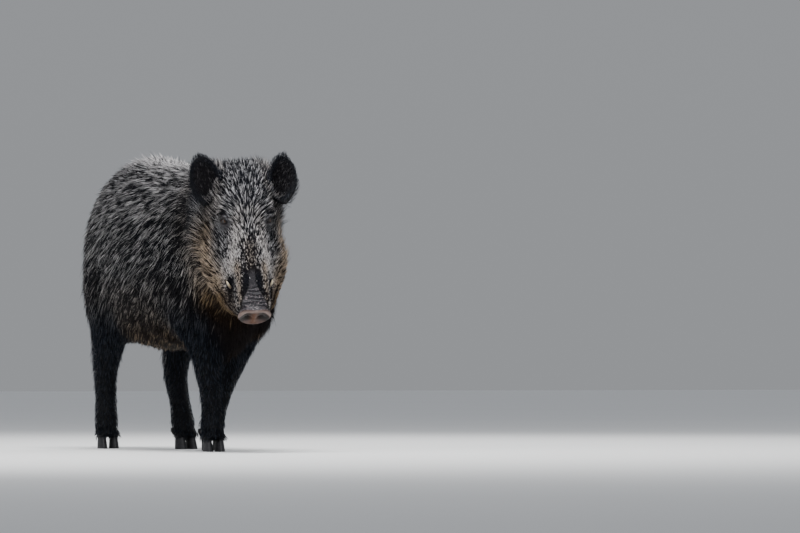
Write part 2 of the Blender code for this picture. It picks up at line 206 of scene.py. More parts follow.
# ------------------------------------------------------------------ landmarks of the head
# A boar's face is a long wedge from poll to snout. What is on it is placed from the eyes and the snout: how
# far across to the boar's left, how far ahead from the eyes (0) to the snout (1), and how far out.


def middle_of(node):
    low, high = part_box(node)
    return (low + high) / 2


EYES = {"right": middle_of("eye_right"), "left": middle_of("eye_left")}
BETWEEN_EYES = (EYES["right"] + EYES["left"]) / 2
SNOUT = middle_of("snout")
SPAN = (SNOUT - BETWEEN_EYES).length
AHEAD = (SNOUT - BETWEEN_EYES).normalized()
ACROSS = EYES["left"] - EYES["right"]
ACROSS = (ACROSS - AHEAD * ACROSS.dot(AHEAD)).normalized()
OUT = AHEAD.cross(ACROSS)
LEVEL = ACROSS.cross(Vector((0, 0, 1))).normalized()


def on_face(points):
    """Across in metres, ahead as a share of the span, and out in metres, of an array of points."""
    away = points - BETWEEN_EYES
    return away @ ACROSS, away @ AHEAD / SPAN, away @ OUT


def ramp(values, start, end):
    """0 before start, 1 after end, and smooth between the two."""
    share = np.clip((values - start) / (end - start), 0, 1)
    return share * share * (3 - 2 * share)


def ridge(values, middle, reach):
    """1 at middle, falling off smoothly to nothing about twice reach away."""
    return np.exp(-(((values - middle) / reach) ** 2))


def unit(vectors):
    return vectors / np.maximum(np.linalg.norm(vectors, axis=-1, keepdims=True), 1e-9)


# ------------------------------------------------------------------ skin
# One unbroken hide over the whole animal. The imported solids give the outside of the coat, so the hide is
# melted from them in one piece and then drawn in by the coat's depth, most on the back and least on the
# face. Lids, ears, nose, snout and mouth are then modelled in it.

HIDE_VOXEL = 0.0035
FLESH = ["trunk", "neck", "head", "lower_jaw", "snout", "tail", "ear_right", "ear_left"]
FLESH += [f"leg_{end}_{hand}" for end in ("front", "hind") for hand in ("right", "left")]
CLAWS = [
    f"{kind}_{end}_{leg_side}_{hand}"
    for kind in ("claw", "dewclaw")
    for end in ("front", "hind")
    for leg_side in ("right", "left")
    for hand in ("right", "left")
]
# The hide's lap over a claw and over a dewclaw: its middle, as shares of the claw's box, and its half sizes.
CLAW_LAP = (0.50, 0.58, 0.95), (0.0180, 0.0270, 0.0170)
DEW_LAP = (0.50, 0.10, 0.62), (0.0115, 0.0125, 0.0125)
SEAM_FILL = 0.0006
LID_FILL = 0.0012
# What gets fine faces: the animal's face, by its landmarks, and its feet up to a height. BODY_KEEP is the
# share of the remesh's faces that stays on the rest.
FACE_BACK, FACE_FRONT, FACE_HALF_WIDTH, FACE_INNER = -0.50, 1.25, 0.16, -0.10
FOOT_TOP = 0.085
BODY_KEEP = 0.042


def shell_of(node, swell=0.0):
    """A node's mesh with its split corners welded, standing out by swell."""
    bm = bmesh.new()
    bm.from_mesh(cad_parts[node].data)
    bmesh.ops.remove_doubles(bm, verts=bm.verts, dist=1e-6)
    bmesh.ops.recalc_face_normals(bm, faces=bm.faces)
    bm.normal_update()
    moves = [(vertex, vertex.normal * swell) for vertex in bm.verts]
    for vertex, move in moves:
        vertex.co += move
    return bm


def applied(obj, kind, **settings):
    """Add a modifier to obj and apply it."""
    modifier = obj.modifiers.new(kind, kind)
    for key, value in settings.items():
        setattr(modifier, key, value)
    bpy.context.view_layer.update()
    baked = bpy.data.meshes.new_from_object(obj.evaluated_get(bpy.context.evaluated_depsgraph_get()))
    obj.modifiers.clear()
    old = obj.data
    obj.data = baked
    bpy.data.meshes.remove(old)


def points_of(mesh):
    flat = np.empty(len(mesh.vertices) * 3)
    mesh.vertices.foreach_get("co", flat)
    return flat.reshape(-1, 3)


def normals_of(mesh):
    flat = np.empty(len(mesh.vertices) * 3, np.float32)
    mesh.vertex_normals.foreach_get("vector", flat)
    return flat.reshape(-1, 3).astype(float)


def move_points(mesh, points):
    mesh.vertices.foreach_set("co", points.astype(np.float32).ravel())
    mesh.update()


def edges_of(mesh):
    flat = np.empty(len(mesh.edges) * 2, np.int32)
    mesh.edges.foreach_get("vertices", flat)
    return flat.reshape(-1, 2)


def spread(values, edges, steps, hold=0.3):
    """Values at the points of a mesh, smoothed along its edges."""
    columns = values.reshape(len(values), -1).astype(float)
    starts, ends = np.concatenate([edges, edges[:, ::-1]]).T
    degree = np.maximum(np.bincount(starts, minlength=len(columns)), 1)
    for _ in range(steps):
        around = [np.bincount(starts, column[ends], len(columns)) / degree for column in columns.T]
        columns = hold * columns + (1 - hold) * np.stack(around, 1)
    return columns.reshape(values.shape)


def regions_of(points, edges, steps):
    """For each part of the body a share at every point, 1 well inside it and fading across its bounds."""
    corners, faces, owner = [], [], []
    for number, node in enumerate(FLESH):
        bm = shell_of(node)
        first = len(corners)
        corners.extend(vertex.co.copy() for vertex in bm.verts)
        faces.extend([first + vertex.index for vertex in face.verts] for face in bm.faces)
        owner.extend([number] * len(bm.faces))
        bm.free()
    tree = BVHTree.FromPolygons(corners, faces)
    nearest = np.array([owner[tree.find_nearest(point)[2]] for point in points.tolist()])
    shares = (nearest[:, None] == np.arange(len(FLESH))).astype(float)
    shares = spread(shares, edges, steps)
    return {node: shares[:, number] for number, node in enumerate(FLESH)}


melt = bmesh.new()
for node in FLESH:
    part = shell_of(node, SEAM_FILL)
    loose = bpy.data.meshes.new(node)
    part.to_mesh(loose)
    part.free()
    melt.from_mesh(loose)
    bpy.data.meshes.remove(loose)
low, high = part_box("eye_right")
EYE_RADIUS = (high.z - low.z) / 2
for centre in EYES.values():
    place = Matrix.Translation(centre)
    bmesh.ops.create_icosphere(melt, subdivisions=4, radius=EYE_RADIUS + LID_FILL, matrix=place)
for node in CLAWS:
    low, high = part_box(node)
    middle, half = DEW_LAP if node.startswith("dew") else CLAW_LAP
    heart = low + Vector([share * size for share, size in zip(middle, high - low)])
    place = Matrix.Translation(heart) @ Matrix.Diagonal(half).to_4x4()
    bmesh.ops.create_icosphere(melt, subdivisions=3, radius=1.0, matrix=place)
mesh = bpy.data.meshes.new("skin")
melt.to_mesh(mesh)
melt.free()
skin = link("skin", mesh)
applied(skin, "REMESH", mode="VOXEL", voxel_size=HIDE_VOXEL)


def give_group(obj, shares):
    """A vertex group named share, in tenths."""
    obj.vertex_groups.clear()
    group = obj.vertex_groups.new(name="share")
    for level in range(1, 11):
        chosen = np.flatnonzero(np.round(shares * 10) == level).tolist()
        group.add(chosen, level / 10, "REPLACE")


# Body and legs need fewer faces than feet and face, which gets finer ones round eyes and nose.
points = points_of(skin.data)
across, ahead, out = on_face(points)
detailed = (ahead > FACE_BACK) & (np.abs(across) < FACE_HALF_WIDTH) & (out > FACE_INNER)
detailed |= points[:, 2] < FOOT_TOP
give_group(skin, np.where(detailed, 0.0, 1.0))
stays = detailed.mean()
applied(skin, "DECIMATE", ratio=stays + BODY_KEEP * (1 - stays), vertex_group="share")


def refine(reach_of_eye, nose_start, nose_width):
    """Halve the hide's edges round both eyes and over the end of the nose."""
    points = points_of(skin.data)
    across, ahead, out = on_face(points)
    needs = (ahead > nose_start) & (ahead < FACE_FRONT) & (np.abs(across) < nose_width) & (out > FACE_INNER)
    for centre in EYES.values():
        needs |= np.linalg.norm(points - centre, axis=1) < reach_of_eye
    bm = bmesh.new()
    bm.from_mesh(skin.data)
    chosen = [edge for edge in bm.edges if all(needs[vertex.index] for vertex in edge.verts)]
    bmesh.ops.subdivide_edges(bm, edges=chosen, cuts=1, use_grid_fill=True, smooth=0.3)
    bmesh.ops.triangulate(bm, faces=bm.faces)
    bm.to_mesh(skin.data)
    bm.free()


skin.vertex_groups.clear()
refine(0.030, 0.66, 0.075)
refine(0.020, 0.93, 0.060)
refine(0.0145, FACE_FRONT, 0.0)

# The facets of the solids are worn off: lightly everywhere, more on the ears and well over the body.
edges = edges_of(skin.data)
region = regions_of(points_of(skin.data), edges, 6)
legs = sum(region[node] for node in FLESH if node.startswith("leg"))
ears = region["ear_right"] + region["ear_left"]
soft = np.clip(region["trunk"] + region["neck"] + legs * ramp(points_of(skin.data)[:, 2], 0.08, 0.13), 0, 1)
for shares, iterations in ((np.ones(len(soft)), 5), (soft, 40), (ears, 14)):
    give_group(skin, shares)
    applied(skin, "SMOOTH", factor=0.5, iterations=iterations, vertex_group="share")
skin.vertex_groups.clear()
skin.data.shade_smooth()

# How deep the coat is, in metres, and so how far the hide lies inside the outline.
points = points_of(skin.data)
normals = unit(spread(normals_of(skin.data), edges, 6))
across, ahead, out = on_face(points)
side, along, height = points.T
head = region["head"] + region["lower_jaw"]
snout, tail = region["snout"], region["tail"]
body = region["trunk"] + region["neck"]
crest = ramp(height, 0.70, 0.80) * ridge(side, np.where(along < -0.30, -0.03, 0.0), 0.06)
mane_rise = crest * ramp(along, 0.56, 0.40) * ramp(along, 0.06, 0.30)
depth = body * (0.014 + 0.008 * crest)
depth += legs * (0.0030 + 0.009 * ramp(height, 0.10, 0.45))
depth += head * (0.0022 + 0.0060 * ramp(ahead, 0.45, -0.20) + 0.0030 * ramp(out, -0.03, -0.08))
depth += ears * 0.0016 + tail * 0.0045
depth += snout * 0.0004
for centre in EYES.values():
    depth *= 1 - ridge(np.linalg.norm(points - centre, axis=1), 0, 0.016)
depth = spread(depth, edges, 4)
points = points - normals * depth[:, None]


WAVES, WAVE_STRENGTH = 5, 0.6


def wander(points, wavelength, seed):
    """A smooth random vector at every point, turning over about that distance."""
    rng = np.random.default_rng(seed)
    total = np.zeros_like(points)
    for _ in range(WAVES):
        wave = unit(rng.normal(size=3)) * 2 * math.pi / (wavelength * rng.uniform(0.7, 1.6))
        total += np.outer(np.sin(points @ wave + rng.uniform(0, 6.28)), unit(rng.normal(size=3)))
    return total * WAVE_STRENGTH


# Lids: hide lies round each eyeball and opens in an almond over it, with a raised margin, creases and bags.
SIDES = (("right", -1), ("left", 1))
LID_OVER_EYE, EYE_CLEARANCE = 0.0013, 0.0035
LID_HALF_LENGTH = 0.0098
UPPER_LID, LOWER_LID = 0.0050, 0.0040
MARGIN_RISE, UPPER_CREASE, UPPER_BAG, LOWER_CREASE, LOWER_BAG = 0.0008, 0.0013, 0.0009, 0.0009, 0.0006
GAZE_LEAN = math.radians(33)
LID_TILT = math.radians(14)


def gaze_of(sign):
    """The way that an eye looks: level, and out to its own side."""
    return ACROSS * math.sin(GAZE_LEAN) * sign + LEVEL * math.cos(GAZE_LEAN)


lid_gap = np.full(len(points), 1.0)
for hand, sign in SIDES:
    gaze = gaze_of(sign)
    slit = Matrix.Rotation(LID_TILT * sign, 3, gaze) @ (ACROSS - gaze * ACROSS.dot(gaze)).normalized()
    brow = slit.cross(gaze)
    brow = brow if brow.dot(AHEAD) < 0 else -brow
    away = points - EYES[hand]
    lengthways, upwards, outwards = away @ slit, away @ brow, away @ gaze
    radius = np.hypot(lengthways, upwards)
    near = (radius < 3 * EYE_RADIUS) & (outwards > -0.2 * EYE_RADIUS)
    bow = 1 - (lengthways / LID_HALF_LENGTH) ** 2
    above, below = upwards - UPPER_LID * bow, -upwards - LOWER_LID * bow
    gap = np.maximum(above, below)
    over = np.sqrt(np.maximum((EYE_RADIUS + LID_OVER_EYE) ** 2 - radius**2, 0))
    over += MARGIN_RISE * ridge(gap, 0.0004, 0.0010)
    crease = UPPER_CREASE * ridge(above, 0.0042, 0.0011) * (upwards > 0)
    over -= crease - UPPER_BAG * ridge(above, 0.0068, 0.0016)
    over -= LOWER_CREASE * ridge(below, 0.0034, 0.0009) - LOWER_BAG * ridge(below, 0.0058, 0.0012)
    under = np.sqrt(np.maximum((EYE_RADIUS - EYE_CLEARANCE) ** 2 - radius**2, 0))
    lid = np.where(gap < 0, under, over)
    hold = ramp(radius, 1.35 * EYE_RADIUS, 0.80 * EYE_RADIUS) * near
    points += np.outer((lid - outwards) * hold, gaze)
    lid_gap = np.where(near, np.minimum(lid_gap, np.abs(gap) + (radius > 1.1 * EYE_RADIUS)), lid_gap)

# Ears: each is a leaf with a raised rim round a shallow well that faces forward and out.
EAR_WELL_DEPTH, EAR_RIM_LIFT = 0.0042, 0.0016
ear_rim, ear_well = np.zeros(len(points)), np.zeros(len(points))
for hand, sign in SIDES:
    leaf = points_of(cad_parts[f"ear_{hand}"].data)
    heart = (leaf.min(0) + leaf.max(0)) / 2
    thin, wide, long = np.linalg.eigh(np.cov((leaf - leaf.mean(0)).T))[1].T
    thin = thin if thin @ LEVEL > 0 else -thin
    away = points - heart
    half_wide, half_long = (np.abs((leaf - heart) @ axis).max() for axis in (wide, long))
    reach = np.hypot(away @ wide / half_wide, away @ long / half_long)
    front = ramp(normals @ thin, 0.15, 0.55) * region[f"ear_{hand}"]
    ear_well += front * ramp(reach, 0.82, 0.55)
    ear_rim += ramp(reach, 0.80, 0.95) * region[f"ear_{hand}"]
    lift = EAR_RIM_LIFT * front * ridge(reach, 0.86, 0.09) - EAR_WELL_DEPTH * front * ramp(reach, 0.82, 0.50)
    points += np.outer(lift, thin)

# Nose: broken arched wrinkles over its end, then the snout's disc: a raised rim in two arches over a hollow
# face, and a deep nostril either side of a low middle ridge.
WRINKLE_PITCH, CREASE_PITCH, WRINKLE_HEIGHT = 0.0120, 0.0062, 0.00065
DISC_HALF_WIDTH, DISC_HALF_HEIGHT, DISC_LIFT = 0.048, 0.0395, -0.0015
ARCH_RISE, ARCH_SET_BACK = 0.0060, 0.0045
RIM_RISE, BOWL_DEPTH, MIDDLE_RISE = 0.0014, 0.0016, 0.0018
NOSTRIL_ACROSS, NOSTRIL_OUT, NOSTRIL_REACH, NOSTRIL_DEPTH = 0.0190, -0.0020, 0.0070, 0.0110
across, ahead, out = on_face(points)
nose_end = ramp(ahead, 0.66, 0.80) * ramp(ahead, 0.97, 0.91) * ramp(np.abs(across), 0.048, 0.022)
wobble = wander(points, 0.045, 3)
arched = ahead * SPAN + 4.5 * across**2 + 0.0035 * wobble[:, 0]
wrinkle = np.sin(2 * math.pi * arched / WRINKLE_PITCH)
arched = ahead * SPAN + 0.3 * np.abs(across) + 0.003 * wobble[:, 1]
wrinkle += 0.5 * np.sin(2 * math.pi * arched / CREASE_PITCH)
strength = nose_end * ramp(out, -0.02, 0.005) * (0.75 + 0.5 * wobble[:, 2])
points += normals * (WRINKLE_HEIGHT * strength * wrinkle)[:, None]
disc_across, disc_up = across / DISC_HALF_WIDTH, (out - DISC_LIFT) / DISC_HALF_HEIGHT
disc_share = np.clip(2 * snout, 0, 1)
square = 0.14 * ramp(disc_up, 0.1, 0.9) - 0.30 * ramp(disc_up, 0.3, -1.0)
square *= ramp(ahead, 0.93, 0.98) * disc_share
points += np.outer(square * across, ACROSS)
disc_radius = np.hypot(disc_across, disc_up)
on_disc = ramp(ahead, 0.99, 1.02) * disc_share
arches = ridge(np.abs(across), 0.026, 0.013) * ramp(disc_up, 0.45, 0.9) * ramp(ahead, 0.95, 1.01) * snout
points += np.outer(ARCH_RISE * arches, OUT) - np.outer(ARCH_SET_BACK * arches, AHEAD)
rim = ridge(disc_radius, 0.95, 0.09) * on_disc * (0.4 + 0.6 * ramp(disc_up, -0.6, 0.6))
bowl = ramp(disc_radius, 0.90, 0.60) * on_disc
from_nostril = np.hypot((np.abs(across) - NOSTRIL_ACROSS) * 0.70, out - NOSTRIL_OUT)
nostril = ridge(from_nostril, 0, NOSTRIL_REACH) * on_disc
middle_ridge = ridge(across, 0, 0.007) * bowl
relief = RIM_RISE * rim - BOWL_DEPTH * bowl - NOSTRIL_DEPTH * nostril + MIDDLE_RISE * middle_ridge
points += np.outer(relief, AHEAD)

# Mouth: a line that runs back from under the snout between the lips, and a furrow beside each tusk.
MOUTH_DEPTH, FURROW_DEPTH = 0.0035, 0.0040
lip_line = -0.046 - 0.115 * (0.90 - ahead)
mouth_line_and_shade = head * ridge(out - lip_line, 0, 0.0030) * ramp(ahead, 0.50, 0.66) * ramp(ahead, 1.02, 0.94)
mouth_line_and_shade *= ramp(np.abs(across), 0.010, 0.025)
furrow = ridge(np.abs(across) - 0.055, 0, 0.005) * ramp(ahead, 0.54, 0.62) * ramp(ahead, 0.95, 0.85)
furrow *= ramp(out, -0.050, -0.025)
points -= normals * (MOUTH_DEPTH * mouth_line_and_shade + FURROW_DEPTH * furrow)[:, None]
move_points(skin.data, points)


# ------------------------------------------------------------------ lie and length of the coat
# Hair lies from the snout back over the head, fans up and out from between the eyes, and runs from the mane
# to the tail. It slants down over shoulder and haunch, and hangs straight down on legs and tail.

BELLY, BACK = 0.29, 0.84
FACE_SOURCE = SNOUT - OUT * 0.02
LEG_LIE, TAIL_LIE = np.array((0.0, 0.12, -1.0)), np.array((0.0, 0.25, -1.0))


def along_skin(vectors, normals):
    """The part of each vector that lies in the surface, at unit length."""
    return unit(vectors - normals * np.sum(vectors * normals, axis=1, keepdims=True))


across, ahead, out = on_face(points)
side, along, height = points.T
normals = unit(spread(normals_of(skin.data), edges, 3))
level = (height - BELLY) / (BACK - BELLY)
thigh = legs * ramp(height, 0.36, 0.52)
shank = legs - thigh
flank = body + thigh
shoulder = ramp(along, 0.02, -0.25)
haunch = ramp(along, 0.28, 0.50)
slant = 0.12 + 0.75 * ramp(level, 1.0, 0.55) + 0.7 * shoulder * ramp(level, 0.95, 0.6)
slant += 1.1 * haunch * ramp(level, 0.9, 0.35)
body_lie = np.stack([0.25 * np.sign(side) * ramp(level, 0.75, 1.0), np.ones_like(slant), -slant], 1)
face_lie = unit(points - FACE_SOURCE)
rise = np.maximum(-0.12 - ahead, 0) * SPAN + 0.024
crown_lie = unit(np.outer(across, ACROSS) - np.outer(rise, AHEAD))
fan = (ramp(ahead, 0.26, 0.0) * ramp(out, -0.10, -0.03))[:, None]
head_lie = face_lie * (1 - fan) + crown_lie * fan
lie = body_lie * flank[:, None] + head_lie * (head + snout)[:, None]
lie += LEG_LIE * shank[:, None]
lie += TAIL_LIE * tail[:, None]
for hand, sign in SIDES:
    lie += np.array((0.30 * sign, 0.1, 0.95)) * region[f"ear_{hand}"][:, None] * 2
lie = unit(spread(along_skin(lie, normals), edges, 10))

# How long and wide the hair is in metres, how far it stands off in degrees, and how thickly it grows.
belly = ramp(-normals[:, 2], 0.3, 0.8)
chest = ramp(-normals[:, 1], 0.2, 0.7) * ramp(height, 0.62, 0.45)
fringe = ramp(normals[:, 1], 0.2, 0.8)
jaw = ramp(out, -0.06, -0.11)
ruff = ramp(ahead, 0.66, 0.30) * ramp(out, -0.015, -0.06)
coronet = ramp(height, 0.085, 0.055)
nape_top = ramp(along, -0.20, -0.38) * ramp(height, 0.70, 0.78)
crown = ramp(ahead, -0.10, -0.28) * ramp(out, -0.06, -0.01)
lips = head * ridge(out - lip_line, 0, 0.0040) * ramp(ahead, 0.52, 0.72) * ramp(ahead, 1.02, 0.94)
lips *= ramp(np.abs(across), 0.010, 0.025)
brow_side = ramp(ahead, 0.02, -0.12) * ramp(np.abs(across), 0.035, 0.065) * ramp(out, -0.10, -0.05)

length = flank * (0.054 + 0.014 * mane_rise + 0.004 * chest - 0.006 * nape_top)
length += shank * (0.018 + 0.034 * ramp(height, 0.14, 0.46) + 0.014 * fringe + 0.004 * coronet)
on_head = 0.0100 + 0.017 * ramp(ahead, 0.60, -0.15) + 0.016 * jaw * ramp(ahead, 0.9, 0.4) + 0.024 * ruff
length += head * on_head
length += head * (0.007 * brow_side + 0.004 * ramp(ahead, 0.20, 0.0) - 0.002 * crown)
on_tail = 0.016 + 0.034 * ramp(height, 0.50, 0.42)
length += ears * (0.010 + 0.011 * ear_rim + 0.006 * ear_well) + tail * on_tail + snout * 0.003

width = flank * 0.0017 + shank * (0.0012 + 0.0008 * ramp(height, 0.2, 0.45)) + ears * 0.0009 + snout * 0.0008
width += head * (0.0016 - 0.0003 * ramp(ahead, 0.3, 0.0)) + tail * 0.0012

erect = flank * (16 + 24 * mane_rise + 5 * chest - 5 * ramp(along, -0.25, -0.40)) + shank * (21 + 9 * fringe)
on_head = 15 + 6 * ramp(ahead, 0.10, -0.10) - 9 * crown + 6 * jaw + 14 * ruff + 10 * brow_side
erect += head * on_head + snout * 10
erect += ears * (24 + 14 * ear_rim)
erect += tail * 10

growth = flank + shank * (1.3 + 1.0 * ramp(height, 0.35, 0.15)) + ears * 2.2 + tail * 2.0
on_head = 1.9 + 0.5 * crown + 0.5 * ramp(ahead, 0.0, 0.45) + 0.5 * ramp(out, -0.09, -0.03)
growth += head * (on_head - 0.7 * ramp(out, -0.07, -0.13))

# Where it is bare: the snout's disc, a wedge over the end of the nose behind it, and the lids. Hair is thin
# and short round the eyes and the dewclaws, so that they show, and stays off the floor. A pair says where a
# change starts and ends: a height on the foot, or a distance from the eye or the dewclaw.
FLOOR_HAIR, FOOT_HAIR = (0.034, 0.042), (0.065, 0.045)
LID_BARE = (0.0185, 0.0135)
ORBIT_EDGE, ORBIT_DROP = (0.036, 0.022), 0.009
ARCH_RADIUS, ARCH_WIDTH = 0.0205, 0.0056
DEW_CLEAR, DEW_RAISE = (0.026, 0.016), np.array((0, 0, 0.004))
wedge = 0.010 + 0.026 * ramp(ahead, 0.68, 0.95)
nose_top = ramp(ahead, 0.48, 0.62) * ramp(np.abs(across) - wedge, 0.003, -0.003) * ramp(out, -0.01, 0.01)
bare = np.clip(snout * 1.5 + nose_top, 0, 1)
orbit, brow_arch = np.zeros(len(points)), np.zeros(len(points))
for centre in EYES.values():
    away = points - centre
    upwards = -(away @ AHEAD)
    radius = np.linalg.norm(away, axis=1)
    bare = np.maximum(bare, ramp(radius, *LID_BARE))
    orbit = np.maximum(orbit, ramp(radius - ORBIT_DROP * ramp(-upwards, 0.0, 0.03), *ORBIT_EDGE))
    brow_arch = np.maximum(brow_arch, ridge(radius, ARCH_RADIUS, ARCH_WIDTH) * ramp(upwards, 0.004, 0.012))
growth *= (1 - bare) * (1 - 0.55 * orbit) * (1 - 0.9 * lips) * ramp(height, *FLOOR_HAIR)
length *= (1 - 0.45 * orbit) * (1 - 0.3 * ramp(height, *FOOT_HAIR))
for node in CLAWS:
    if node.startswith("dew"):
        away = points - middle_of(node) - DEW_RAISE
        by_dewclaw = ramp(np.linalg.norm(away, axis=1), *DEW_CLEAR)
        growth *= 1 - 0.75 * by_dewclaw
        length *= 1 - 0.5 * by_dewclaw

# Markings, the same on hide and coat. pale is the share of silver tips, warm how brown they are, and glow
# how bright a pale tip is. A pale V runs from between the eyes to the tusks; the nose has a dark stripe down
# either side; a dark arch stands over each eye. The hair in the furrow beside each tusk is darkened as
# painted shade. Towards the back, pale and glow rise partly for the real silvering and partly as painted
# light from above. On the legs and the ear rims, glow is partly painted sheen.
cheek = head * ramp(out, -0.025, -0.080) * ramp(ahead, -0.22, 0.10)
vee = ridge(np.abs(across) - 0.015 - 0.085 * np.maximum(ahead, 0), 0, 0.020)
vee *= ramp(ahead, -0.18, 0.05) * ramp(ahead, 0.66, 0.54)
nose_line = ridge(across, 0.0, 0.020) * ramp(ahead, 0.14, 0.36) * ramp(ahead, 0.66, 0.54)
nose_side = ridge(np.abs(across), 0.037, 0.011) * ramp(ahead, 0.40, 0.56) * ramp(ahead, 0.98, 0.90)
stripe_place = np.maximum(0.0185, 0.005 + wedge)
nose_stripe = ridge(np.abs(across), stripe_place, 0.0072) * ramp(ahead, 0.48, 0.74) * ramp(ahead, 0.92, 0.74)
# Painted shade: the hair in the furrow beside each tusk is darkened.
tusk_furrow_shade = ridge(np.abs(across), 0.056, 0.0060) * ramp(ahead, 0.54, 0.66) * ramp(out, -0.055, -0.02)
tusk_furrow_shade *= ramp(ahead, 0.93, 0.82)
muzzle_side = head * ramp(ahead, 0.62, 0.74) * ramp(out, 0.0, -0.03)
nape = body * ramp(along, -0.20, -0.36) * ramp(level, 0.45, 0.70)
jowl = ramp(along, -0.25, -0.38) * ramp(height, 0.34, 0.44) * ramp(height, 0.66, 0.54)

# Painted light: pale rises over the crest and towards the back, partly for the real silvering and partly as
# light from above.
pale = 0.32 + 0.18 * crest + 0.12 * ramp(level, 0.6, 0.9) - 0.08 * ramp(level, 0.55, 0.20) - 0.13 * chest
pale = flank * pale - flank * (0.02 + 0.13 * ramp(along, -0.12, -0.34))
pale += body * 0.30 * jowl
pale += head * (0.28 + (0.18 + 0.16 * ramp(ahead, 0.1, 0.4)) * vee + 0.20 * cheek - 0.02 * nose_line)
pale += head * (0.10 * brow_side + 0.16 * muzzle_side - 0.6 * lips)
on_head = 0.20 * nose_side - 0.95 * brow_arch - 0.70 * tusk_furrow_shade - 0.62 * nose_stripe + 0.55 * orbit
pale += head * on_head
pale += ears * (0.05 + 0.12 * ear_well + 0.12 * ear_rim) + tail * 0.15 + shank * 0.35
pale = np.clip(pale, 0, 1)

warm = flank * (0.18 + 0.34 * nape + 0.45 * belly + 0.30 * ramp(level, 0.5, 0.2)) + body * 0.45 * jowl
on_head = 0.12 + 0.25 * muzzle_side + 0.65 * cheek + 0.40 * nose_line + 0.50 * nose_side
warm += head * (on_head + 0.20 * brow_side + 0.16 * vee)
warm += ears * 0.3 * ear_well
warm = np.clip(warm, 0, 1)

# Painted light: glow rises over the crest, partly for the real silvering and partly as light from above.
glow = flank * (0.84 + 0.16 * crest - 0.25 * ramp(level, 0.5, 0.2) - 0.35 * chest - 0.30 * nape)
glow += body * 0.10 * jowl
on_head = 0.82 - 0.08 * vee - 0.58 * orbit - 0.30 * nose_side - 0.50 * muzzle_side
glow += head * (on_head - 0.25 * ruff * (1 - cheek))
# Painted sheen: the legs' small glow stands for the sheen on their hair. The ear rims' glow and pale are
# partly real pale hairs and partly painted sheen.
glow += shank * 0.035 + ears * (0.05 + 0.10 * ear_well + 0.20 * ear_rim) + tail * 0.3
glow = np.clip(glow, 0, 1)


# ------------------------------------------------------------------ colours of the hide
# Nearly black under the coat. The snout's disc has a pale rim, palest along its top, painted shade over
# the upper part of its face under the rim and in the nostrils, ochre down its middle and pinkish lower
# lobes. The nose behind it is slate hide with pale scuffs, and the hide round the eyes is lilac-grey with
# nearly black margins.


def carry(mesh, name, values):
    """Store a number on every point of a mesh, for its material to read."""
    mesh.attributes.new(name, "FLOAT", "POINT").data.foreach_set("value", values.astype(np.float32))


disc_across, disc_up = across / DISC_HALF_WIDTH, (out - DISC_LIFT) / DISC_HALF_HEIGHT
disc_radius = np.hypot(disc_across, disc_up)
disc_rim = ramp(disc_radius, 0.92, 0.99) * ramp(ahead, 1.006, 1.020)
# Painted shade: the nostrils and the upper part of the disc's face, under its rim, are darkened.
disc_painted_shade = nostril * 1.3 + 0.95 * ramp(disc_up, -0.75, -0.20) * ramp(disc_radius, 0.95, 0.84)
for name, values in (
    ("pale", pale),
    ("warm", warm),
    ("glow", glow),
    ("bare", bare),
    ("disc", ramp(ahead, 0.990, 1.012)),
    ("worn", ramp(ahead, 0.66, 0.86)),
    ("rim", disc_rim * (0.25 + 0.75 * ramp(disc_up, 0.0, 0.6))),
    ("cleft", ridge(disc_across, 0, 0.22) * ramp(disc_radius, 0.95, 0.7)),
    ("disc_shade", np.clip(disc_painted_shade, 0, 1)),
    # Painted shade: darkens the mouth line and the furrow beside each tusk.
    ("mouth_line_and_shade", np.clip(mouth_line_and_shade + 0.7 * furrow, 0, 1)),
    ("orbit", orbit),
    ("lid_edge", ramp(lid_gap, 0.0062, 0.0034)),
):
    carry(skin.data, name, values)
hide, sockets, f = new_finish("hide", Specular_IOR_Level=0.20)
warmth = f.read("warm")
ground = warmth.mix((0.0035, 0.0035, 0.0045), (0.008, 0.0055, 0.004))
fleck = f.cloud(520, 2.0).step(0.52, 0.66) * f.read("pale") * f.read("glow") * 0.7
coated = fleck.mix(ground, warmth.mix((0.30, 0.29, 0.28), (0.20, 0.14, 0.09)))
mottle = f.cloud(240, 4.0).step(0.35, 0.70)
coated = (f.read("orbit") * 0.85).mix(coated, mottle.mix((0.035, 0.030, 0.036), (0.095, 0.080, 0.090)))
scuffs = f.cloud(190, 5.0).step(0.50, 0.70) * (f.read("worn") * 0.85 + 0.15)
nose_hide = scuffs.mix((0.010, 0.009, 0.012), (0.140, 0.116, 0.122))
disc_lobes = f.cloud(90, 3.0).mix((0.050, 0.030, 0.026), (0.115, 0.074, 0.064))
# Painted shade: nearly black where the disc's face lies under its rim and in the nostrils.
disc = f.read("disc_shade").mix(disc_lobes, (0.0065, 0.0040, 0.0032))
disc = (f.read("cleft") * 0.9).mix(disc, (0.078, 0.028, 0.010))
disc = f.read("rim").mix(disc, f.cloud(120, 3.0).mix((0.12, 0.086, 0.075), (0.23, 0.170, 0.148)))
lid_hide = mottle.mix((0.026, 0.022, 0.025), (0.078, 0.066, 0.072))
bald = f.read("orbit").mix(f.read("disc").mix(nose_hide, disc), lid_hide)
colour = f.read("bare").mix(coated, bald)
colour = f.read("lid_edge").mix(colour, (0.006, 0.0045, 0.0045))
# Painted shade: the mouth line and the furrows beside the tusks go nearly black.
colour = (f.read("mouth_line_and_shade") * 0.9).mix(colour, (0.005, 0.004, 0.004))
f.feed(sockets["Base Color"], colour)
f.feed(sockets["Roughness"], f.read("bare") * -0.12 + 0.60)
pores = f.cloud(900, 2.0).bump(0.35, 0.0006)
f.feed(sockets["Normal"], f.cloud(260, 3.0).bump(0.55, 0.0016, pores))
skin.data.materials.clear()
skin.data.materials.append(hide)
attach(skin, "root")
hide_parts(*FLESH)


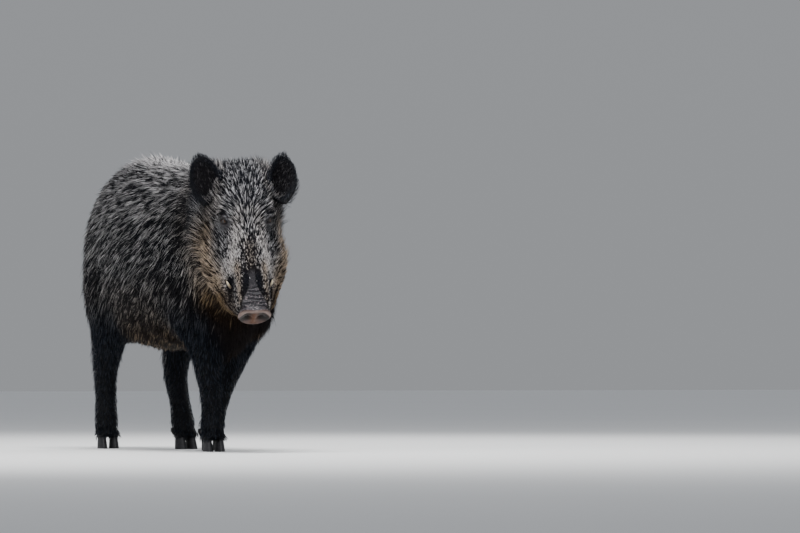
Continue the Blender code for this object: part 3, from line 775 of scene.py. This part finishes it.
# ------------------------------------------------------------------ coat
# Stiff bristles, dark at the root and silver or brown at the tip where the coat is grizzled. Each tuft is a
# solid spindle with a ridge, rooted in the hide and bent along it. Neighbouring tufts lean into locks.

ZONES = [("rump", 0.36, 0.80), ("loin", 0.12, 0.36), ("shoulder", -0.12, 0.12), ("neck", -0.60, -0.12)]
ZONE_TUFTS, HEAD_TUFTS, LEG_TUFTS = 18500, 30500, 7000
SMALL_COATS = [("ear_right", 4500), ("ear_left", 4500), ("tail", 2500)]
# A tuft's points are its root, the two sides and the ridge of its middle, and its tip.
TUFT_FACES = np.array([(0, 2, 1), (0, 3, 2), (0, 1, 3), (4, 1, 2), (4, 2, 3), (4, 3, 1)])
TUFT_POINTS = 5
TUFT_THICKNESS = 0.42
ROOT_DEPTH = 0.0012
LENGTH_RANGE, RISE_RANGE, GLOW_RANGE = (0.72, 1.2), (0.6, 1.4), (0.55, 1.1)
TIP_RISE = 0.55
STRAYS, STRAY_RISE, STRAY_LEAN = 0.08, math.radians(16), 0.1
PATCH = 0.003
PATCH_SHAPE = np.array([(0.5, 0.0), (0.0, 0.5), (0.5, 0.5), (1.0, 0.5), (0.5, 1.0)]) - 0.5
# The hide is unrolled about a line through the body and one through the head, for the coat's maps.
BODY_CORE, HEAD_CORE = 0.55, -0.06

bristle, sockets, f = new_finish("bristle", Roughness=0.6, Specular_IOR_Level=0.04)
tipward, warmth = f.read("tipward"), f.read("warm")
silvered = (f.read("pale") - f.read("shade")).step(-0.06, 0.06)
full_tip = warmth.mix((0.70, 0.71, 0.74), (0.52, 0.36, 0.20))
# Painted sheen: the blue tint of the dim and dark tips stands for the bluish sheen on the near-black hair,
# most of all on the legs.
dim_tip_and_sheen = warmth.mix((0.014, 0.020, 0.032), (0.040, 0.026, 0.016))
tip_colour = f.read("glow").mix(dim_tip_and_sheen, full_tip)
dark_tip_and_sheen = warmth.mix((0.0050, 0.0065, 0.0105), (0.014, 0.0085, 0.0055))
root_colour = warmth.mix((0.0020, 0.0020, 0.0026), (0.0050, 0.0035, 0.0025))
end_colour = silvered.mix(dark_tip_and_sheen, tip_colour)
f.feed(sockets["Base Color"], tipward.step(0.10, 0.65).mix(root_colour, end_colour))

faces = np.array([tuple(face.vertices) for face in skin.data.polygons])
first, second, third = np.moveaxis(points[faces], 1, 0)
areas = np.linalg.norm(np.cross(second - first, third - first), axis=1) / 2


def unwrapped(turn, along):
    """Each root's own cell on the unrolled hide: neighbours stay near, and no two tufts share a cell."""
    count = len(turn)
    columns = int(math.ceil(math.sqrt(count)))
    column = np.empty(count, int)
    column[np.argsort(turn, kind="stable")] = np.arange(count) // columns
    order = np.lexsort((along, column))
    first_of = np.searchsorted(column[order], np.arange(columns))
    row = np.empty(count, int)
    row[order] = np.arange(count) - first_of[column[order]]
    return (np.stack([column, row], 1) + 0.5) / columns


def toward(flow, normal, angle):
    """Unit steps along the flow, turned up from the hide by an angle."""
    return flow * np.cos(angle)[:, None] + normal * np.sin(angle)[:, None]


def grow(name, tufts, share, turn, seed, lock=4, pull=0.66, together=0.5):
    """A piece of coat, rooted where share is above nothing. Every so many tufts (lock) lean to one tip (pull)
    and are alike in shade (together)."""
    rng = np.random.default_rng(seed)
    chance = areas * (growth * share)[faces].mean(1)
    sums = np.cumsum(chance)
    marks = (np.arange(tufts) + rng.random(tufts)) / tufts * sums[-1]
    face = faces[np.minimum(np.searchsorted(sums, marks), len(faces) - 1)]
    weight = np.sqrt(rng.random(tufts))
    slide = rng.random(tufts)
    weights = np.stack([1 - weight, weight * (1 - slide), weight * slide], 1)

    def at_root(values):
        return np.einsum("ij,ij...->i...", weights, values[face])

    # The lie wanders in long and in short waves, and a little from tuft to tuft.
    root, normal = at_root(points), unit(at_root(normals))
    long, wide = at_root(length), at_root(width)
    rise = np.radians(at_root(erect))
    flow = at_root(lie) + 0.17 * wander(root, 0.12, 5) + 0.07 * wander(root, 0.03, 6)
    flow = along_skin(flow + 0.08 * rng.normal(size=(tufts, 3)), normal)
    long *= rng.uniform(*LENGTH_RANGE, tufts)
    rise *= rng.uniform(*RISE_RANGE, tufts)
    stray = rng.random(tufts) < STRAYS
    rise += stray * STRAY_RISE * rng.random(tufts)

    # Locks: every so manyth tuft leads, and those round it lean to its tip.
    leaders = np.arange(0, tufts, lock)
    rng.shuffle(leaders)
    tree = KDTree(len(leaders))
    for number, leader in enumerate(leaders):
        tree.insert(root[leader], number)
    tree.balance()
    nearest = np.array([tree.find(place)[1] for place in root.tolist()])
    leader = leaders[nearest]
    lock_shade = rng.random(len(leaders))[nearest]

    middle = root + long[:, None] * 0.5 * toward(flow, normal, rise)
    tip = middle + long[:, None] * 0.5 * toward(flow, normal, rise * TIP_RISE)
    lean = np.where(stray, STRAY_LEAN, pull)[:, None]
    tip += (tip[leader] - tip) * lean
    middle += (middle[leader] - middle) * (lean * 0.3)
    sideways = unit(np.cross(normal, unit(tip - root))) * wide[:, None] / 2
    ridge_top = middle + normal * (wide * TUFT_THICKNESS)[:, None]
    tuft = [root - normal * ROOT_DEPTH, middle - sideways, ridge_top, middle + sideways, tip]
    triangles = (np.arange(tufts)[:, None, None] * TUFT_POINTS + TUFT_FACES).reshape(-1, 3)
    mesh = bpy.data.meshes.new(name)
    mesh.from_pydata(np.stack(tuft, axis=1).reshape(-1, 3), [], triangles)
    mesh.shade_smooth()
    carry(mesh, "tipward", np.tile([0.0, 0.5, 0.5, 0.5, 1.0], tufts))
    chosen = together * lock_shade + (1 - together) * rng.random(tufts)
    lit = at_root(glow) * rng.uniform(*GLOW_RANGE, tufts)
    for key, values in (("shade", chosen), ("pale", at_root(pale)), ("warm", at_root(warm)), ("glow", lit)):
        carry(mesh, key, np.repeat(values, TUFT_POINTS))

    # Every tuft's patch on the map stands at its root's place on the unrolled hide.
    patch = unwrapped(at_root(turn), at_root(along))
    spots = (patch[:, None, :] + PATCH_SHAPE * PATCH).reshape(-1, 2)
    layer = mesh.uv_layers.new(name="OFBake")
    layer.data.foreach_set("uv", spots[triangles.ravel()].astype(np.float32).ravel())

    piece = link(name, mesh)
    mesh.materials.append(bristle)
    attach(piece, "root")


spine_turn = np.arctan2(side, height - BODY_CORE)
face_turn = np.arctan2(across, out - HEAD_CORE)
for number, (zone, start, end) in enumerate(ZONES):
    for hand, sign in SIDES:
        inside = body * (along > start) * (along <= end) * (side * sign > 0)
        seed = 10 + number * 2 + (sign > 0)
        grow(f"coat_{zone}_{hand}", ZONE_TUFTS, inside, spine_turn, seed, together=0.6)
for hand, sign in SIDES:
    inside = np.clip(head, 0, 1) * (across * sign > 0)
    seed = 30 + (sign > 0)
    grow(f"coat_head_{hand}", HEAD_TUFTS, inside, face_turn, seed, lock=3, pull=0.55, together=0.55)
for number, node in enumerate(name for name in FLESH if name.startswith("leg")):
    grow(f"coat_{node}", LEG_TUFTS, region[node], spine_turn, 40 + number, together=0.3)
for number, (node, tufts) in enumerate(SMALL_COATS):
    grow(f"coat_{node}", tufts, region[node], spine_turn, 50 + number, lock=3, pull=0.3)


# ------------------------------------------------------------------ eyes
# Small wet balls with a domed front: a round black pupil in a russet iris with a dark edge, and a
# brownish white that hardly shows between the lids.

PUPIL, IRIS = math.radians(19), math.radians(38)
DOME = 0.0006

eye_finish, sockets, f = new_finish("eye_wet", Roughness=0.08, Specular_IOR_Level=0.6)
off_pupil = f.read("from_pupil")
iris = f.cloud(900, 2.0).mix((0.026, 0.010, 0.006), (0.085, 0.036, 0.018))
ringed = off_pupil.step(IRIS * 0.82, IRIS).mix(iris, (0.020, 0.010, 0.007))
white = off_pupil.step(IRIS, IRIS * 1.25).mix(ringed, (0.085, 0.055, 0.048))
f.feed(sockets["Base Color"], off_pupil.step(PUPIL, PUPIL * 1.2).mix((0.003, 0.002, 0.002), white))
for hand, sign in SIDES:
    bm = bmesh.new()
    bmesh.ops.create_uvsphere(bm, u_segments=48, v_segments=36, radius=EYE_RADIUS)
    angles = [vertex.co.angle(Vector((0, 0, 1)), 0.0) for vertex in bm.verts]
    for vertex, angle in zip(bm.verts, angles):
        vertex.co *= 1 + DOME / EYE_RADIUS * math.cos(min(angle / IRIS, 1) * math.pi / 2)
    turned = gaze_of(sign).to_track_quat("Z", "Y").to_matrix().to_4x4()
    bm.transform(Matrix.Translation(EYES[hand]) @ turned)
    mesh = bpy.data.meshes.new(f"eyeball_{hand}")
    bm.to_mesh(mesh)
    bm.free()
    mesh.shade_smooth()
    carry(mesh, "from_pupil", np.array(angles))
    mesh.materials.append(eye_finish)
    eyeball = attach(link(f"eyeball_{hand}", mesh), "root")
    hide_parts(f"eye_{hand}")


# ------------------------------------------------------------------ tusks
# The lower canines curve up outside the lips. They are smooth ivory, pale at the tip and stained where they
# leave the lip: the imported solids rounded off, slimmer and shorter, with the tips splayed out.

SOLE, SOLE_CREASE = 0.0008, 0.85
ROUNDING = 2
TUSK_SLIM, TUSK_SHORT, TUSK_SPLAY, TUSK_ROOT_IN, TUSK_SINK = 0.78, 0.74, 0.0065, 0.004, 0.0085
SPINE_SHARES = np.linspace(0, 1, 5)


def rounded(node, name, finish):
    """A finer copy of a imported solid, with its flat sole left flat."""
    bm = shell_of(node)
    crease = bm.edges.layers.float.new("crease_edge")
    for edge in bm.edges:
        low_down = all(vertex.co.z < SOLE for vertex in edge.verts)
        if low_down and any(face.normal.z > -0.9 for face in edge.link_faces):
            edge[crease] = SOLE_CREASE
    mesh = bpy.data.meshes.new(name)
    bm.to_mesh(mesh)
    bm.free()
    piece = link(name, mesh)
    applied(piece, "SUBSURF", levels=ROUNDING, render_levels=ROUNDING)
    piece.data.shade_smooth()
    piece.data.materials.append(finish)
    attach(piece, "root")
    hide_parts(node)
    return piece


ivory, sockets, f = new_finish("ivory", Roughness=0.30)
grain = f.cloud(180, 4.0, (1.0, 1.0, 0.25))
worn = grain.step(0.35, 0.75).mix((0.62, 0.54, 0.38), (0.40, 0.30, 0.17))
f.feed(sockets["Base Color"], f.read("from_tip").step(0.45, 0.95).mix(worn, (0.10, 0.065, 0.035)))
f.feed(sockets["Normal"], grain.bump(0.3, 0.0004))
for hand, sign in SIDES:
    tusk = rounded(f"tusk_{hand}", f"tusk_ivory_{hand}", ivory)
    shape = points_of(tusk.data)
    ahead = on_face(shape)[1]
    from_tip = (ahead - ahead.min()) / (ahead.max() - ahead.min())
    hearts = np.array([shape[np.abs(from_tip - share) < 0.12].mean(0) for share in SPINE_SHARES])
    spine = np.stack([np.interp(from_tip, SPINE_SHARES, column) for column in hearts.T], 1)
    shape = spine + (shape - spine) * TUSK_SLIM
    shape -= np.outer((1 - TUSK_SHORT) * SPAN * (ahead - ahead.min()), AHEAD)
    sideways = TUSK_SPLAY * (1 - from_tip) ** 1.5 - TUSK_ROOT_IN * from_tip**2
    shape += np.outer(sign * sideways, ACROSS) + TUSK_SINK * np.array(AHEAD)
    move_points(tusk.data, shape)
    carry(tusk.data, "from_tip", from_tip)


# ------------------------------------------------------------------ claws
# Two claws and two dewclaws on each foot, of dark horn with growth rings. The claws stand on worn, flat
# soles. A dewclaw is a blunt cone that points down and back out of the hair.

DEW_TOP, DEW_TAPER, DEW_LEAN, DEW_SET_IN = 1.05, 0.45, 0.0035, 0.0015

horn, sockets, f = new_finish("horn", Roughness=0.5, Specular_IOR_Level=0.35)
rings = f.cloud(45, 4.0, (1.0, 1.0, 9.0))
f.feed(sockets["Base Color"], rings.step(0.30, 0.80).mix((0.012, 0.012, 0.014), (0.030, 0.029, 0.031)))
f.feed(sockets["Normal"], rings.bump(0.4, 0.0010))
for node in CLAWS:
    claw = rounded(node, f"{node}_horn", horn)
    if node.startswith("dew"):
        shape = points_of(claw.data)
        low, high = shape.min(0), shape.max(0)
        down = (high[2] - shape[:, 2]) / (high[2] - low[2])
        heart = (low + high) / 2
        shape[:, :2] = heart[:2] + (shape[:, :2] - heart[:2]) * (DEW_TOP - DEW_TAPER * down)[:, None]
        shape[:, 1] += DEW_LEAN * down - DEW_SET_IN
        move_points(claw.data, shape)
